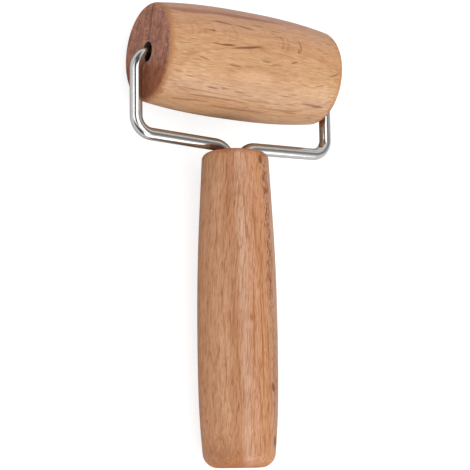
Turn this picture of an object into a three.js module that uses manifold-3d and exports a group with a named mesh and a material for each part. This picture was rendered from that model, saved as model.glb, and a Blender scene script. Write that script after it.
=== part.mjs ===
// Hand roller for pastry and pizza dough. A crowned beech roller turns on a bent wire frame,
// and the two legs of the wire are bonded side by side into the end of a turned beech handle.
// It lies as it does on a table, on the crown of the roller and the belly of the handle.
// Millimetres. +Z is up, +X runs along the roller and +Y from the handle towards the roller.
// The origin is on the table, under the middle of the footprint.

import * as THREE from 'three';
import { mergeVertices } from 'three/addons/utils/BufferGeometryUtils.js';
import Module from 'manifold-3d';

// Roller, turned from one piece and drilled from end to end
const rollerLength = 89.5;
const rollerDiameter = 48.5; // over the crown, at mid-length
const rollerEndDiameter = 42.6; // where the crown would meet the end faces
const crownPower = 2.5; // how the crown falls away: nearly flat in the middle
const rollerRimRadius = 2;

// Wire frame, one length of round stainless wire with six bends
const wireDiameter = 5.5;
const endFloat = 1.9; // free space between each arm and the roller
const crossbarGap = 8.7; // free space between the crown and the crossbars, at the arms
const crossbarFallDegrees = 1.9; // the crossbars run down towards the handle
const armBendRadius = 8.3; // bend radii are to the centre of the wire
const cornerBendRadius = 7.6;
const legBendRadius = 7.4;
const legGap = 0.7; // between the two legs in the handle
const legDepth = 38; // length of leg inside the handle

// Axle in the bore. It lies low there, because the roller carries the frame
const boreClearance = 1.45; // how much larger the bore's radius is than the wire's
const axleRunningGap = 0.3; // under the axle
const boreMouthGap = 0.3; // between the mouths of the bore and the bends of the arms
const boreEdgeBreak = 0.4; // the least chamfer at the mouths

// Handle, turned
const handleLength = 137.5;
const handleNeckDiameter = 29.5;
const handleBellyDiameter = 35.1;
const handleButtDiameter = 30.6;
const handleNeckRound = 2.8;
const handleButtRound = 6;
const bellyShare = 0.6; // where along the handle its belly is widest
const neckEaseShare = 0.24; // how far along the handle the neck's taper holds its slope
const neckFlareShare = 0.6; // how much of the swell that taper has made by then
const bellyEaseShare = 0.26; // how far the belly stays flat on each side
const buttEaseShare = 0.1; // how far before the butt the handle starts its last taper
const buttFlareShare = 0.42; // how much of the narrowing is still to come there

// Seat of the wire in the handle: a drilled hole, countersunk to clear the bends of the legs
const fitGap = 0.3; // between the wire, the resin and the wood
const resinBelowLegs = 2;
const resinRecess = 0.5; // from the bottom of the countersink down to the resin
const drillPointDegrees = 118;

// Fineness of the surfaces
const rollerFacets = 60;
const boreFacets = 24;
const handleFacets = 48;
const wireFacets = 16;
const bendSteps = 8;
const rimSteps = 4;
const crownSteps = 8; // from mid-length to one rim
const swellSteps = 9;
const cutOverrun = 1;

// Sizes that follow from those above
const wireRadius = wireDiameter / 2;
const rollerRadius = rollerDiameter / 2;
const boreRadius = wireRadius + boreClearance;
const axleDrop = boreClearance - axleRunningGap;
const armX = rollerLength / 2 + endFloat + wireRadius;
const armReach = rollerRadius + crossbarGap + wireRadius;
const legX = wireRadius + legGap / 2;
const crossbarFall = THREE.MathUtils.degToRad(crossbarFallDegrees);
const legReach = armReach + (armX - legX) * Math.tan(crossbarFall);
const neckReach = legReach + wireRadius + fitGap;
const socketRadius = legX + wireRadius + fitGap;
const socketDepth = legDepth + resinBelowLegs;
const countersinkRadius = legX + legBendRadius;
const countersinkDepth = countersinkRadius - socketRadius;

const rollerBeech = { color: 0xd2a47c, roughness: 0.55, metalness: 0 };
const handleBeech = { color: 0xbe8c69, roughness: 0.55, metalness: 0 };
const steel = { color: 0xc8c8c6, roughness: 0.18, metalness: 1 };
const resin = { color: 0xd8c59a, roughness: 0.3, metalness: 0 };

// An arc that rounds the corner of a bent line, in an outline or along the wire.
function roundedCorner(before, corner, after, radius, steps) {
  const toBefore = before.clone().sub(corner).normalize();
  const toAfter = after.clone().sub(corner).normalize();
  const halfAngle = Math.acos(THREE.MathUtils.clamp(toBefore.dot(toAfter), -1, 1)) / 2;
  const bisector = toBefore.clone().add(toAfter).normalize();
  const centre = corner.clone().addScaledVector(bisector, radius / Math.sin(halfAngle));
  const start = corner.clone().addScaledVector(toBefore, radius / Math.tan(halfAngle)).sub(centre);
  const end = corner.clone().addScaledVector(toAfter, radius / Math.tan(halfAngle)).sub(centre);
  const sweep = Math.PI - 2 * halfAngle;
  const arc = [];
  for (let step = 0; step <= steps; step += 1) {
    const share = step / steps;
    const point = start.clone().multiplyScalar(Math.sin((1 - share) * sweep) / Math.sin(sweep));
    arc.push(point.addScaledVector(end, Math.sin(share * sweep) / Math.sin(sweep)).add(centre));
  }
  return arc;
}

// The radius of the crown at a distance from the middle of the roller.
function crownRadius(fromMiddle) {
  const share = Math.abs(fromMiddle) / (rollerLength / 2);
  return rollerRadius - (rollerRadius - rollerEndDiameter / 2) * share ** crownPower;
}

// A body of revolution about y with the middle of a facet, not a ridge, on each side.
function turned(outline, facets) {
  return new THREE.LatheGeometry(outline, facets, Math.PI / facets);
}

// Outline of one half of the roller, as (radius, distance from the middle): crown, rim and face.
function rollerHalfOutline() {
  const half = rollerLength / 2;
  const crownEnd = half - rollerRimRadius;
  const crown = [];
  for (let step = 0; step < crownSteps; step += 1) {
    const along = (crownEnd * step) / crownSteps;
    crown.push(new THREE.Vector2(crownRadius(along), along));
  }
  const corner = new THREE.Vector2(crownRadius(half), half);
  const faceCentre = new THREE.Vector2(0, half);
  const rim = roundedCorner(crown[crown.length - 1], corner, faceCentre, rollerRimRadius, rimSteps);
  return [...crown, ...rim, faceCentre];
}

function rollerShape() {
  const half = rollerHalfOutline();
  const mirrored = half.slice(1).reverse().map((point) => new THREE.Vector2(point.x, -point.y));
  return turned([...mirrored, ...half], rollerFacets);
}

// The chamfer at the mouths of the bore. It is deep enough to clear the inside of the wire's
// bends, which start inside the bore and are already low in it where they come out.
function mouthChamfer() {
  const insideRadius = armBendRadius - wireRadius;
  const clearReach = Math.sqrt((boreRadius - boreMouthGap) ** 2 - axleDrop ** 2);
  const bendStart = armX - armBendRadius;
  const bendRun = Math.sqrt(insideRadius ** 2 - (armBendRadius - clearReach) ** 2);
  return Math.max(boreEdgeBreak, rollerLength / 2 - bendStart - bendRun);
}

// The drill that bores the roller and chamfers both mouths.
function boreCutter() {
  const half = rollerLength / 2;
  const chamfer = mouthChamfer();
  const outline = [
    new THREE.Vector2(0, -half - cutOverrun),
    new THREE.Vector2(boreRadius + chamfer + cutOverrun, -half - cutOverrun),
    new THREE.Vector2(boreRadius, -half + chamfer),
    new THREE.Vector2(boreRadius, half - chamfer),
    new THREE.Vector2(boreRadius + chamfer + cutOverrun, half + cutOverrun),
    new THREE.Vector2(0, half + cutOverrun),
  ];
  return turned(outline, boreFacets);
}

// The centre line of the wire before its corners are rounded, from one leg end to the other.
// The axle lies on the x axis and the legs point down y.
function wireCorners(legEnd) {
  const right = [
    { at: new THREE.Vector3(armX, 0, 0), radius: armBendRadius },
    { at: new THREE.Vector3(armX, -armReach, 0), radius: cornerBendRadius },
    { at: new THREE.Vector3(legX, -legReach, 0), radius: legBendRadius },
    { at: new THREE.Vector3(legX, -legEnd, 0), radius: 0 },
  ];
  const left = right.map(({ at, radius }) => ({ at: new THREE.Vector3(-at.x, at.y, at.z), radius }));
  return [...left.reverse(), ...right];
}

// A path that runs straight between its stations, so that each straight is one step of the sweep.
class StationPath extends THREE.Curve {
  constructor(stations) {
    super();
    this.stations = stations;
  }

  getUtoTmapping(share) {
    return share;
  }

  getPoint(share, target = new THREE.Vector3()) {
    const last = this.stations.length - 1;
    const place = THREE.MathUtils.clamp(share, 0, 1) * last;
    const before = Math.min(Math.floor(place), last - 1);
    return target.copy(this.stations[before]).lerp(this.stations[before + 1], place - before);
  }
}

function wireStations(legEnd) {
  const corners = wireCorners(legEnd);
  const stations = [corners[0].at];
  for (let index = 1; index < corners.length - 1; index += 1) {
    const { at, radius } = corners[index];
    stations.push(...roundedCorner(corners[index - 1].at, at, corners[index + 1].at, radius, bendSteps));
  }
  stations.push(corners[corners.length - 1].at);
  return stations;
}

// The bent wire, or the room that it needs when there is an allowance all round.
function wireShape(allowance) {
  const radius = wireRadius + allowance;
  const section = [];
  for (let side = 0; side < wireFacets; side += 1) {
    const angle = (2 * Math.PI * side) / wireFacets;
    section.push(new THREE.Vector2(radius * Math.cos(angle), radius * Math.sin(angle)));
  }
  const stations = wireStations(neckReach + legDepth + allowance);
  return new THREE.ExtrudeGeometry(new THREE.Shape(section), {
    steps: stations.length - 1,
    extrudePath: new StationPath(stations),
  });
}

// Outline of the handle as (radius, reach from the axle), from the neck to the butt.
function handleOutline() {
  const along = (share) => neckReach + handleLength * share;
  const neck = handleNeckDiameter / 2;
  const belly = handleBellyDiameter / 2;
  const butt = handleButtDiameter / 2;
  const swell = new THREE.CubicBezierCurve(
    new THREE.Vector2(neck, along(0)),
    new THREE.Vector2(neck + (belly - neck) * neckFlareShare, along(neckEaseShare)),
    new THREE.Vector2(belly, along(bellyShare - bellyEaseShare)),
    new THREE.Vector2(belly, along(bellyShare)),
  );
  const taper = new THREE.CubicBezierCurve(
    new THREE.Vector2(belly, along(bellyShare)),
    new THREE.Vector2(belly, along(bellyShare + bellyEaseShare)),
    new THREE.Vector2(butt + (belly - butt) * buttFlareShare, along(1 - buttEaseShare)),
    new THREE.Vector2(butt, along(1)),
  );
  const side = [...swell.getPoints(swellSteps), ...taper.getPoints(swellSteps).slice(1)];
  const grip = side.filter(({ y }) => y > along(0) + handleNeckRound && y < along(1) - handleButtRound);
  const neckCentre = new THREE.Vector2(0, along(0));
  const buttCentre = new THREE.Vector2(0, along(1));
  const shoulder = roundedCorner(neckCentre, side[0], grip[0], handleNeckRound, rimSteps);
  const gripEnd = grip[grip.length - 1];
  const heel = roundedCorner(gripEnd, side[side.length - 1], buttCentre, handleButtRound, rimSteps);
  return [neckCentre, ...shoulder, ...grip, ...heel, buttCentre];
}

// A body turned about the handle's axis. Reach is measured down y, away from the roller.
function turnedOnHandleAxis(outline, facets) {
  return turned(outline.map(({ x, y }) => new THREE.Vector2(x, -y)).reverse(), facets);
}

// The bottom of a drilled hole of a given radius, with the cone that the drill's point leaves.
function drilledBottom(radius) {
  const bottom = neckReach + socketDepth;
  const pointLength = radius / Math.tan(THREE.MathUtils.degToRad(drillPointDegrees) / 2);
  return [new THREE.Vector2(radius, bottom), new THREE.Vector2(0, bottom + pointLength)];
}

// The drill and the countersink that make the hole in the handle.
function socketCutter() {
  const outline = [
    new THREE.Vector2(0, neckReach - cutOverrun),
    new THREE.Vector2(countersinkRadius + cutOverrun, neckReach - cutOverrun),
    new THREE.Vector2(socketRadius, neckReach + countersinkDepth),
    ...drilledBottom(socketRadius),
  ];
  return turnedOnHandleAxis(outline, handleFacets);
}

// The resin in the hole before the legs go in. It lies a fit gap inside the wood.
function resinFilling() {
  const radius = socketRadius - fitGap;
  const top = neckReach + countersinkDepth + resinRecess;
  const outline = [new THREE.Vector2(0, top), new THREE.Vector2(radius, top), ...drilledBottom(radius)];
  return turnedOnHandleAxis(outline, handleFacets);
}

// How far the handle drops from level when its belly comes down onto the table.
function restingPitch(axleHeight) {
  const pitches = handleOutline()
    .map(({ x: radius, y: reach }) => ({ span: Math.hypot(radius, reach), lean: Math.atan2(radius, reach) }))
    .filter(({ span }) => span > axleHeight)
    .map(({ span, lean }) => Math.asin(axleHeight / span) - lean);
  return Math.min(...pitches);
}

const wasm = await Module();
wasm.setup();

function toSolid(geometry) {
  const bare = geometry.clone();
  bare.deleteAttribute('normal');
  bare.deleteAttribute('uv');
  const welded = mergeVertices(bare);
  return new wasm.Manifold(new wasm.Mesh({
    numProp: 3,
    vertProperties: new Float32Array(welded.attributes.position.array),
    triVerts: new Uint32Array(welded.index.array),
  }));
}

function toGeometry(solid) {
  const mesh = solid.getMesh();
  const geometry = new THREE.BufferGeometry();
  geometry.setAttribute('position', new THREE.BufferAttribute(new Float32Array(mesh.vertProperties), 3));
  geometry.setIndex(new THREE.BufferAttribute(new Uint32Array(mesh.triVerts), 1));
  geometry.computeVertexNormals();
  return geometry;
}

function namedMesh(name, geometry, finish) {
  const mesh = new THREE.Mesh(geometry, new THREE.MeshStandardMaterial(finish));
  mesh.name = name;
  return mesh;
}

function makeRoller() {
  const drilled = toSolid(rollerShape()).subtract(toSolid(boreCutter()));
  const mesh = namedMesh('roller', toGeometry(drilled), rollerBeech);
  mesh.rotation.z = Math.PI / 2;
  return mesh;
}

function makeHandle() {
  const blank = toSolid(turnedOnHandleAxis(handleOutline(), handleFacets));
  return namedMesh('handle', toGeometry(blank.subtract(toSolid(socketCutter()))), handleBeech);
}

// Resin on both sides of the legs and under them.
function makeResin() {
  const wireRoom = toSolid(wireShape(fitGap));
  return namedMesh('socket_resin', toGeometry(toSolid(resinFilling()).subtract(wireRoom)), resin);
}

function makeWireFrame() {
  return namedMesh('wire_frame', wireShape(0), steel);
}

const roller = makeRoller();
roller.position.z = rollerRadius;

const heldParts = new THREE.Group();
heldParts.add(makeWireFrame(), makeHandle(), makeResin());
heldParts.position.z = rollerRadius - axleDrop;
heldParts.rotation.x = restingPitch(heldParts.position.z);

const pastryRoller = new THREE.Group();
pastryRoller.add(roller, heldParts);
const box = new THREE.Box3().setFromObject(pastryRoller, true);
const middle = box.getCenter(new THREE.Vector3());
pastryRoller.position.set(-middle.x, -middle.y, -box.min.z);

export default pastryRoller;
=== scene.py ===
# %% [markdown]
# # A hand roller for pastry and pizza dough
# The tool is a short crowned roller that turns on a bent wire, and the wire is bonded into the end of a
# turned handle. The solids for every piece are already packed as a fixed frame, so this lesson gives each
# piece its fine shape and its finish in the place that the frame fixes. Everything is in metres: X runs
# along the roller, Y from the handle to the roller and Z up from the table.

import math

import bmesh
import bpy
from mathutils import Matrix, Vector
from mathutils.geometry import interpolate_bezier


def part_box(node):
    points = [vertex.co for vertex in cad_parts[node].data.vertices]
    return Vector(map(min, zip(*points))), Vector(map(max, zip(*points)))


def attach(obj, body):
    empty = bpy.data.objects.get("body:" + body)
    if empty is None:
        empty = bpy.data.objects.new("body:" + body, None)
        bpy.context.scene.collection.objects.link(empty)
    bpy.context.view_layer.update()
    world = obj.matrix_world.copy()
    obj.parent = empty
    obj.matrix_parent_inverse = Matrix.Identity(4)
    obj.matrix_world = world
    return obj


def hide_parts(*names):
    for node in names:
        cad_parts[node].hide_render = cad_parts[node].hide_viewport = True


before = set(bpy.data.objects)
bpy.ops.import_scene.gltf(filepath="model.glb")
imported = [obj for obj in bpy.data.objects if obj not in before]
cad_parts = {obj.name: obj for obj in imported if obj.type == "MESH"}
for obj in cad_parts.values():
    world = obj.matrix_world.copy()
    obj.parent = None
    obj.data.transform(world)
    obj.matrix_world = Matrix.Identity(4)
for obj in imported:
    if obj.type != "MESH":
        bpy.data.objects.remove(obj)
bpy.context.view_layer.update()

# %% [markdown]
# ## Sizes
# A turner works from a short list of sizes, and so does this lesson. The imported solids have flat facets,
# and a facet lies just inside the true circle. The fine surfaces are therefore turned to the measured box
# of each solid, less a hair of a thousandth of a millimetre, so that nothing stands outside it and both
# round pieces still touch the table.

# %% Sizes of the roller
MM = 0.001
HAIR = 0.001 * MM
roller_low, roller_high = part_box("roller")
ROLLER_CENTRE = (roller_low + roller_high) / 2
ROLLER_HALF_LENGTH = (roller_high.x - roller_low.x) / 2
ROLLER_RADIUS = (roller_high.z - roller_low.z) / 2 - HAIR
ROLLER_END_RADIUS = 21.27 * MM
CROWN_POWER = 2.5
RIM_RADIUS = 2.0 * MM
BORE_RADIUS = 4.2 * MM
BORE_CHAMFER = 0.5 * MM
BORE_EDGE = 0.16 * MM
print("roller centre (mm):", [round(c / MM, 3) for c in ROLLER_CENTRE])
print("roller radius (mm):", round(ROLLER_RADIUS / MM, 3))

# %% Sizes of the wire
WIRE_RADIUS = 2.75 * MM - HAIR
ARM_X = 49.4 * MM
ARM_REACH = 35.7 * MM
CROSSBAR_FALL = math.radians(1.9)
ARM_BEND = 8.3 * MM
CORNER_BEND = 7.6 * MM
LEG_BEND = 7.4 * MM
LEG_X = 3.1 * MM
LEG_DEPTH = 38.0 * MM
NECK_GAP = 0.3 * MM
AXLE_DROP = 1.15 * MM
AXLE_CENTRE = ROLLER_CENTRE - Vector((0, 0, AXLE_DROP))
LEG_REACH = ARM_REACH + (ARM_X - LEG_X) * math.tan(CROSSBAR_FALL)
NECK_REACH = LEG_REACH + WIRE_RADIUS + NECK_GAP
print("from the axle to the neck of the handle (mm):", round(NECK_REACH / MM, 2))

# %% Sizes of the handle
HANDLE_LENGTH = 137.5 * MM
NECK_RADIUS, BELLY_RADIUS, BUTT_RADIUS = 14.75 * MM, 17.55 * MM, 15.3 * MM
NECK_ROUND, BUTT_ROUND = 2.8 * MM, 6.0 * MM
SOCKET_RADIUS = 6.15 * MM
SOCKET_DEPTH = 40.0 * MM
SOCKET_EDGE = 0.25 * MM
COUNTERSINK_RADIUS = 10.5 * MM
COUNTERSINK_DEPTH = COUNTERSINK_RADIUS - SOCKET_RADIUS
DRILL_POINT_HALF_ANGLE = math.radians(59)
INSIDE_FACETS = 0.9998
handle_low, handle_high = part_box("handle")
HANDLE_FIT = INSIDE_FACETS * (handle_high.x - handle_low.x) / (2 * BELLY_RADIUS)
HANDLE_PITCH = math.radians(2.27)
HELD_PLACE = Matrix.Translation(AXLE_CENTRE) @ Matrix.Rotation(HANDLE_PITCH, 4, "X")
print("handle turned to", round(HANDLE_FIT, 5), "of its full radius, to lie inside its facets")

# %% [markdown]
# ## Helpers for the shapes
# Each wooden piece is turned on a lathe, so each starts as an outline on one side of its axis that is spun
# round it. An outline is a list of points, each with the radius that rounds it. The rounding is a bevel of
# the point, which leaves the same arc that sandpaper or a cutter would. A point on the axis comes back once
# for each step of the spin, so points closer than two thousandths of a millimetre are welded to one.

# %% Outline and spin helpers
ARC_STEP = 0.4 * MM
WELD = 0.002 * MM
CREASE = math.radians(35)


def outline_of(points, closed):
    """Joined edges through (place, rounding) points. A point with a rounding becomes an arc."""
    mesh = bmesh.new()
    corners = [mesh.verts.new(place) for place, _ in points]
    for first, second in zip(corners, corners[1:]):
        mesh.edges.new((first, second))
    if closed:
        mesh.edges.new((corners[-1], corners[0]))
    for radius in sorted({rounding for _, rounding in points if rounding}):
        rounded = [corner for corner, (_, rounding) in zip(corners, points) if rounding == radius]
        bmesh.ops.bevel(
            mesh, geom=rounded, offset=radius, offset_type="OFFSET", segments=3 + int(radius / ARC_STEP),
            profile=0.5, affect="VERTICES", material=-1,
        )
    return mesh


def spaced(low, high, pieces):
    """Evenly spaced values from low to high, both included."""
    return [low + (high - low) * step / pieces for step in range(pieces + 1)]


def turned(mesh, axis, steps):
    """Spins the whole outline round an axis through the origin, as a lathe turns the work."""
    bmesh.ops.spin(
        mesh, geom=mesh.verts[:] + mesh.edges[:], cent=(0, 0, 0), axis=axis, dvec=(0, 0, 0),
        angle=2 * math.pi, steps=steps, use_merge=True,
    )
    bmesh.ops.remove_doubles(mesh, verts=mesh.verts[:], dist=WELD)
    bmesh.ops.recalc_face_normals(mesh, faces=mesh.faces[:])


def finished(mesh, name, place, body, node):
    """Puts a shape in its place in the frame and hides the solid it stands for."""
    bmesh.ops.transform(mesh, matrix=place, verts=mesh.verts[:])
    data = bpy.data.meshes.new(name)
    mesh.to_mesh(data)
    mesh.free()
    data.shade_smooth()
    data.set_sharp_from_angle(angle=CREASE)
    piece = bpy.data.objects.new(name, data)
    bpy.context.scene.collection.objects.link(piece)
    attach(piece, body)
    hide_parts(node)
    size = [round(side / MM, 2) for side in piece.dimensions]
    print(f"{name}: {len(data.vertices)} points, {len(data.polygons)} faces, {size} mm")
    return piece


# %% [markdown]
# ## The roller
# The roller is one length of beech, turned to a crown: nearly cylindrical in the middle and falling away
# faster towards the ends, so that its edges don't cut into the dough. A subdivided cylinder would need its
# ends pinched by hand. Spinning one outline gives the true crown, the two-millimetre rim and the chamfered
# bore together, and the bore stays open from end to end. Every rounding needs a little more than its own
# radius of free outline on both sides, or its arc would run over the next point.

# %% Turn the roller
CLEAR = 1.1
LATHE_STEPS = 144
CROWN_STEPS, FACE_STEPS, BORE_STEPS = 64, 10, 6


def crown_radius(from_middle):
    share = abs(from_middle) / ROLLER_HALF_LENGTH
    return ROLLER_RADIUS - (ROLLER_RADIUS - ROLLER_END_RADIUS) * share ** CROWN_POWER


def roller_outline():
    end, face, clear = ROLLER_HALF_LENGTH, ROLLER_END_RADIUS, CLEAR * RIM_RADIUS
    mouth, inner = BORE_RADIUS + BORE_CHAMFER, end - BORE_CHAMFER
    crown = [((x, 0, crown_radius(x)), 0) for x in spaced(-end + clear, end - clear, CROWN_STEPS)]
    left_face = [((-end, 0, r), 0) for r in spaced(mouth + 1 * MM, face - clear, FACE_STEPS)]
    right_face = [((end, 0, r), 0) for r in spaced(face - clear, mouth + 1 * MM, FACE_STEPS)]
    bore = [((x, 0, BORE_RADIUS), 0) for x in spaced(end - 2 * MM, -end + 2 * MM, BORE_STEPS)]
    points = [
        ((-inner, 0, BORE_RADIUS), BORE_EDGE), ((-end, 0, mouth), BORE_EDGE), *left_face,
        ((-end, 0, face), RIM_RADIUS), *crown, ((end, 0, face), RIM_RADIUS), *right_face,
        ((end, 0, mouth), BORE_EDGE), ((inner, 0, BORE_RADIUS), BORE_EDGE), *bore,
    ]
    return outline_of(points, closed=True)


roller_mesh = roller_outline()
turned(roller_mesh, (1, 0, 0), LATHE_STEPS)
roller = finished(
    roller_mesh, "beech_roller", Matrix.Translation(ROLLER_CENTRE), "roller", "roller",
)

# %% [markdown]
# ## The handle
# The handle swells from its neck to a belly at six tenths of its length, and narrows again to the butt. Two
# Bezier curves that meet flat at the belly give that swell with a handful of values, as a turner's template
# would. The neck has a small round, the butt a larger one, and the neck face is drilled and countersunk for
# the legs of the wire.

# %% Turn the handle
BELLY_PLACE = 0.6
SIDE_STEPS, INNER_STEPS = 28, 6


def handle_side(steps):
    """The swell and the taper of the handle, from its neck to its butt, as (radius, distance)."""
    belly, length = BELLY_PLACE * HANDLE_LENGTH, HANDLE_LENGTH
    swell = (
        (NECK_RADIUS, 0), (NECK_RADIUS + (BELLY_RADIUS - NECK_RADIUS) * 0.6, 0.24 * length),
        (BELLY_RADIUS, 0.34 * length), (BELLY_RADIUS, belly),
    )
    taper = (
        (BELLY_RADIUS, belly), (BELLY_RADIUS, 0.86 * length),
        (BUTT_RADIUS + (BELLY_RADIUS - BUTT_RADIUS) * 0.42, 0.9 * length), (BUTT_RADIUS, length),
    )
    upper, lower = (
        interpolate_bezier(*[Vector((r, d, 0)) for r, d in curve], steps) for curve in (swell, taper)
    )
    return [(point.x * HANDLE_FIT, point.y) for point in upper + lower[1:]]


def handle_outline():
    side = handle_side(SIDE_STEPS)
    (neck, _), (butt, end) = side[0], side[-1]
    grip = [(r, d, 0) for r, d in side if CLEAR * NECK_ROUND < d < end - CLEAR * BUTT_ROUND]
    point_depth = SOCKET_DEPTH + SOCKET_RADIUS / math.tan(DRILL_POINT_HALF_ANGLE)
    bottom, top = SOCKET_DEPTH - 1 * MM, COUNTERSINK_DEPTH + 1 * MM
    wall = [(SOCKET_RADIUS, d, 0) for d in spaced(bottom, top, INNER_STEPS)]
    butt_face = [(r, end, 0) for r in spaced(butt - CLEAR * BUTT_ROUND, 1 * MM, INNER_STEPS)]
    profile = [
        (0, point_depth, 0), (SOCKET_RADIUS, SOCKET_DEPTH, 0), *wall,
        (SOCKET_RADIUS, COUNTERSINK_DEPTH, SOCKET_EDGE), (COUNTERSINK_RADIUS, 0, SOCKET_EDGE),
        (neck, 0, NECK_ROUND), *grip, (butt, end, BUTT_ROUND), *butt_face, (0, end, 0),
    ]
    return outline_of([((0, -NECK_REACH - d, r), rounding) for r, d, rounding in profile], closed=False)


handle_mesh = handle_outline()
turned(handle_mesh, (0, 1, 0), LATHE_STEPS)
handle = finished(handle_mesh, "beech_handle", HELD_PLACE, "handle_and_frame", "handle")

# %% [markdown]
# ## The wire frame
# One length of round wire is bent six times. A curve with a bevel would do, but its bends need handles set
# by eye. Here a circle is carried along instead, exactly as the bender does it: pushed along each straight,
# and swung round a mandrel of known radius at each bend. Only half is bent, and a mirror makes the other.

# %% Bend the wire
WIRE_SIDES = 40
BEND_STEPS = 20
LEG_EDGE = 0.3 * MM
SEAM = 0.01 * MM


def pushed(mesh, ring, move):
    """Carries the ring along a straight and returns the ring at its far end."""
    made = bmesh.ops.extrude_edge_only(mesh, edges=ring)["geom"]
    points = {part for part in made if isinstance(part, bmesh.types.BMVert)}
    bmesh.ops.translate(mesh, verts=list(points), vec=move)
    return [part for part in made if isinstance(part, bmesh.types.BMEdge) and set(part.verts) <= points]


def swung(mesh, ring, centre, angle, steps):
    """Swings the ring round a mandrel at the centre and returns the ring at the end of the bend."""
    points = list({point for edge in ring for point in edge.verts})
    made = bmesh.ops.spin(
        mesh, geom=points + ring, cent=centre, axis=(0, 0, 1), dvec=(0, 0, 0), angle=angle, steps=steps,
    )["geom_last"]
    return [part for part in made if isinstance(part, bmesh.types.BMEdge)]


def half_wire():
    """The right half of the frame, with the axle on the X axis and the leg pointing down Y."""
    mesh = bmesh.new()
    upright = Matrix.Rotation(math.pi / 2, 4, "Y")
    bmesh.ops.create_circle(mesh, cap_ends=False, segments=WIRE_SIDES, radius=WIRE_RADIUS, matrix=upright)
    ring = mesh.edges[:]
    place, heading = Vector((0, 0, 0)), Vector((1, 0, 0))
    turn = math.pi / 2 - CROSSBAR_FALL
    corner_run = CORNER_BEND * math.tan(turn / 2)
    leg_run = LEG_BEND * math.tan(turn / 2)
    bar = (ARM_X - LEG_X) / math.cos(CROSSBAR_FALL)
    route = [
        (ARM_X - ARM_BEND, ARM_BEND, -math.pi / 2),
        (ARM_REACH - ARM_BEND - corner_run, CORNER_BEND, -turn),
        (bar - corner_run - leg_run, LEG_BEND, turn),
    ]
    for straight, radius, angle in route:
        ring = pushed(mesh, ring, heading * straight)
        place = place + heading * straight
        inward = Vector((-heading.y, heading.x, 0)) * math.copysign(1, angle)
        centre = place + inward * radius
        ring = swung(mesh, ring, centre, angle, BEND_STEPS)
        swing = Matrix.Rotation(angle, 3, "Z")
        place = centre + swing @ (place - centre)
        heading = swing @ heading
    ring = pushed(mesh, ring, heading * (NECK_REACH + LEG_DEPTH + place.y))
    bmesh.ops.holes_fill(mesh, edges=ring, sides=0)
    bmesh.ops.bevel(
        mesh, geom=ring, offset=LEG_EDGE, offset_type="OFFSET", segments=2, profile=0.5, affect="EDGES",
        material=-1,
    )
    return mesh


wire_mesh = half_wire()
bmesh.ops.mirror(
    wire_mesh, geom=wire_mesh.verts[:] + wire_mesh.edges[:] + wire_mesh.faces[:], matrix=Matrix.Identity(4),
    merge_dist=SEAM, axis="X",
)
bmesh.ops.remove_doubles(wire_mesh, verts=wire_mesh.verts[:], dist=WELD)
bmesh.ops.recalc_face_normals(wire_mesh, faces=wire_mesh.faces[:])
wire = finished(wire_mesh, "steel_wire", HELD_PLACE, "handle_and_frame", "wire_frame")

# %% [markdown]
# ## The resin in the socket
# Two round legs side by side leave most of a round hole empty, and resin fills it. It creeps a little up
# the wood and the wire before it sets, so its top is dished. The top is filled between three circles, the
# hole and the two legs, and an inset pushes its middle down. The same region is extruded for the depth of
# the legs, and a second turned plug fills the drill point under them.

# %% Fill the socket
RESIN_RECESS = 0.5 * MM
RESIN_FILM = 0.02 * MM
PLUG_RADIUS = SOCKET_RADIUS - RESIN_FILM
DISH_EDGE, DISH_DEPTH = 0.25 * MM, 0.2 * MM
SOCKET_SIDES = 72


def circle_in_socket(mesh, across, radius, depth, segments):
    """A circle that lies square to the handle, at a depth below its neck."""
    place = Matrix.Translation((across, -NECK_REACH - depth, 0)) @ Matrix.Rotation(math.pi / 2, 4, "X")
    bmesh.ops.create_circle(mesh, cap_ends=False, segments=segments, radius=radius, matrix=place)


def resin_round_legs():
    mesh = bmesh.new()
    top = COUNTERSINK_DEPTH + RESIN_RECESS
    circle_in_socket(mesh, 0, PLUG_RADIUS, top, SOCKET_SIDES)
    for side in (-LEG_X, LEG_X):
        circle_in_socket(mesh, side, WIRE_RADIUS + RESIN_FILM, top, WIRE_SIDES)
    bmesh.ops.triangle_fill(mesh, use_beauty=True, use_dissolve=False, edges=mesh.edges[:])
    lower = bmesh.ops.extrude_face_region(mesh, geom=mesh.faces[:], use_keep_orig=True)["geom"]
    points = [part for part in lower if isinstance(part, bmesh.types.BMVert)]
    bmesh.ops.translate(mesh, verts=points, vec=(0, top - LEG_DEPTH, 0))
    bmesh.ops.recalc_face_normals(mesh, faces=mesh.faces[:])
    upper = [face for face in mesh.faces if face.normal.y > 0.9]
    bmesh.ops.inset_region(mesh, faces=upper, thickness=DISH_EDGE, depth=-DISH_DEPTH, use_even_offset=True)
    return mesh


def resin_under_legs():
    tip = SOCKET_DEPTH + PLUG_RADIUS / math.tan(DRILL_POINT_HALF_ANGLE)
    corners = [(0, LEG_DEPTH), (PLUG_RADIUS, LEG_DEPTH), (PLUG_RADIUS, SOCKET_DEPTH), (0, tip)]
    mesh = outline_of([((0, -NECK_REACH - depth, radius), 0) for radius, depth in corners], closed=False)
    turned(mesh, (0, 1, 0), SOCKET_SIDES)
    return mesh


resin_mesh = resin_round_legs()
plug_mesh = resin_under_legs()
plug_data = bpy.data.meshes.new("resin_plug")
plug_mesh.to_mesh(plug_data)
plug_mesh.free()
resin_mesh.from_mesh(plug_data)
bpy.data.meshes.remove(plug_data)
resin = finished(resin_mesh, "socket_filling", HELD_PLACE, "handle_and_frame", "socket_resin")

# %% [markdown]
# ## Helpers for the materials
# A material here is a small network that is computed from the place of a point on the piece, so it needs no
# pictures and has the right scale everywhere. Effects that both woods use are node groups with named
# sockets. The helpers below only save typing: each adds a node, sets what is constant and links the rest.

# %% Node helpers
def feed(tree, socket, value):
    if isinstance(value, bpy.types.NodeSocket):
        tree.links.new(value, socket)
    else:
        socket.default_value = value


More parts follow.
